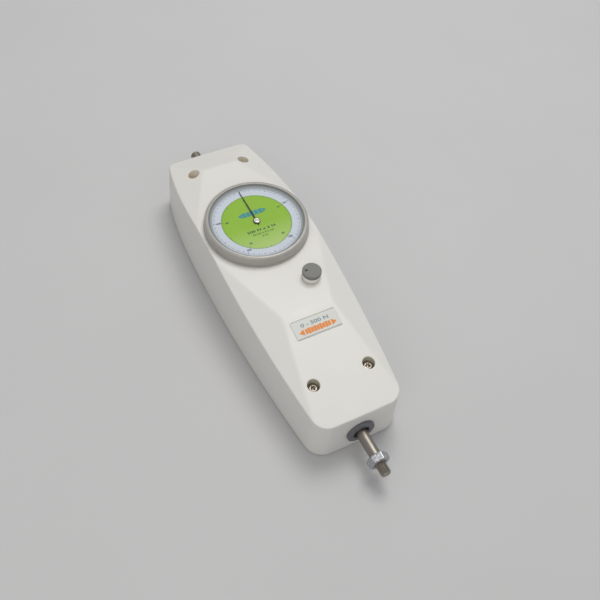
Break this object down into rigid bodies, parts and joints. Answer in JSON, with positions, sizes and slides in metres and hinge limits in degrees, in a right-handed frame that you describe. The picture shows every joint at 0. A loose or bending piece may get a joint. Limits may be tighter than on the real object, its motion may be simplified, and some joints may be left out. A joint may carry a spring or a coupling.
{
  "type": "analogue push-pull force gauge",
  "caption": "Hand-held analogue force gauge: long faceted case, round dial with turning bezel, sliding measuring rod through both ends, hold button.",
  "frame": {"origin": "on the flat back, straight under the dial axis", "axes": "+Z out of the back towards the dial, +Y towards the top of the dial and the rod's rear end, +X to the right as the dial is read"},
  "size_m": [0.0672, 0.2493, 0.0464],
  "materials": {
    "ivory_plastic": "warm ivory ABS moulding, satin with a very fine texture",
    "dark_plastic": "dark slate moulded plastic",
    "grey_plastic": "mid grey moulded plastic, matte",
    "bezel_metal": "warm light grey paint on a turned ring, satin",
    "dial_print": "matte printed sheet: green centre, white scale ring",
    "clear_lens": "clear moulded acrylic window, polished",
    "pointer_black": "matte black paint on thin sheet",
    "nickel_steel": "nickel plated steel, ground",
    "chrome": "bright chrome plate",
    "spring_steel": "drawn spring wire",
    "brass": "machined brass, unpolished",
    "sheet_steel": "zinc plated pressed steel",
    "label_film": "silver printed film with a satin laminate"
  },
  "bodies": {
    "housing": {"front_housing": "ivory_plastic", "back_cover": "ivory_plastic", "case_screw_front_left": "nickel_steel", "case_screw_front_right": "nickel_steel", "case_screw_rear_left": "nickel_steel", "case_screw_rear_right": "nickel_steel", "mounting_insert_1": "brass", "mounting_insert_2": "brass", "mounting_insert_3": "brass", "mounting_insert_4": "brass", "front_bush": "dark_plastic", "rear_bush": "dark_plastic", "type_label": "label_film", "front_spring": "spring_steel", "rear_spring": "spring_steel", "chassis_plate": "sheet_steel", "front_frame_wall": "sheet_steel", "rear_frame_wall": "sheet_steel", "lower_movement_plate": "brass", "upper_movement_plate": "brass", "lower_pillar_1": "nickel_steel", "upper_pillar_1": "nickel_steel", "lower_pillar_2": "nickel_steel", "upper_pillar_2": "nickel_steel", "lower_pillar_3": "nickel_steel", "upper_pillar_3": "nickel_steel", "lower_pillar_4": "nickel_steel", "upper_pillar_4": "nickel_steel", "bezel_retainer": "sheet_steel", "retainer_screw_1": "nickel_steel", "retainer_screw_2": "nickel_steel", "retainer_screw_3": "nickel_steel", "button_guide": "dark_plastic", "button_spring": "spring_steel", "lever_pin": "nickel_steel", "lever_bracket": "sheet_steel"},
    "bezel": {"bezel": "bezel_metal", "dial_plate": "dial_print", "dial_lens": "clear_lens"},
    "pointer": {"pointer": "pointer_black", "pointer_hub": "nickel_steel", "centre_arbor": "nickel_steel", "centre_pinion": "brass", "ratchet_wheel": "brass"},
    "spindle": {"gear_spindle": "nickel_steel", "rack_pinion": "brass", "drive_wheel": "brass"},
    "rod": {"measuring_rod": "nickel_steel", "front_collar": "sheet_steel", "rear_collar": "sheet_steel", "rack": "brass"},
    "lock_nut": {"lock_nut": "chrome"},
    "button_slide": {"button_stem": "nickel_steel", "button_sleeve": "ivory_plastic", "stem_clip": "spring_steel"},
    "button_cap": {"button_cap": "grey_plastic"},
    "hold_lever": {"hold_lever": "sheet_steel"}
  },
  "joints": [
    {"name": "rod_slide", "type": "slide", "parent": "housing", "child": "rod", "axis": [0, 1, 0], "range_m": [-0.01, 0.01], "stiffness_N_per_m": 50000, "deforming": ["front_spring", "rear_spring"]},
    {"name": "spindle_spin", "type": "hinge", "parent": "housing", "child": "spindle", "pos_m": [-0.008, -0.02178, 0.0208], "axis": [0, 0, 1], "range_deg": [-86, 86]},
    {"name": "pointer_spin", "type": "hinge", "parent": "housing", "child": "pointer", "pos_m": [0, 0, 0.0444], "axis": [0, 0, 1], "range_deg": [-365, 365]},
    {"name": "bezel_turn", "type": "hinge", "parent": "housing", "child": "bezel", "pos_m": [0, 0, 0.041], "axis": [0, 0, 1], "continuous": true},
    {"name": "nut_spin", "type": "hinge", "parent": "rod", "child": "lock_nut", "pos_m": [0, -0.1473, 0.0135], "axis": [0, 1, 0], "continuous": true},
    {"name": "button_press", "type": "slide", "parent": "housing", "child": "button_slide", "axis": [0, 0, -1], "range_m": [0, 0.0025], "stiffness_N_per_m": 800, "deforming": ["button_spring"]},
    {"name": "button_turn", "type": "hinge", "parent": "button_slide", "child": "button_cap", "pos_m": [0.012, -0.0453, 0.0443], "axis": [0, 0, 1], "range_deg": [0, 90]},
    {"name": "hold_lever_tilt", "type": "hinge", "parent": "housing", "child": "hold_lever", "pos_m": [0.012, -0.026, 0.0336], "axis": [1, 0, 0], "range_deg": [0, 8]}
  ],
  "couplings": [
    {"joint": "spindle_spin", "follows": "rod_slide", "rad_per_m": 147.06},
    {"joint": "pointer_spin", "follows": "rod_slide", "rad_per_m": -628.34},
    {"joint": "hold_lever_tilt", "follows": "button_press", "rad_per_m": 51.813}
  ]
}
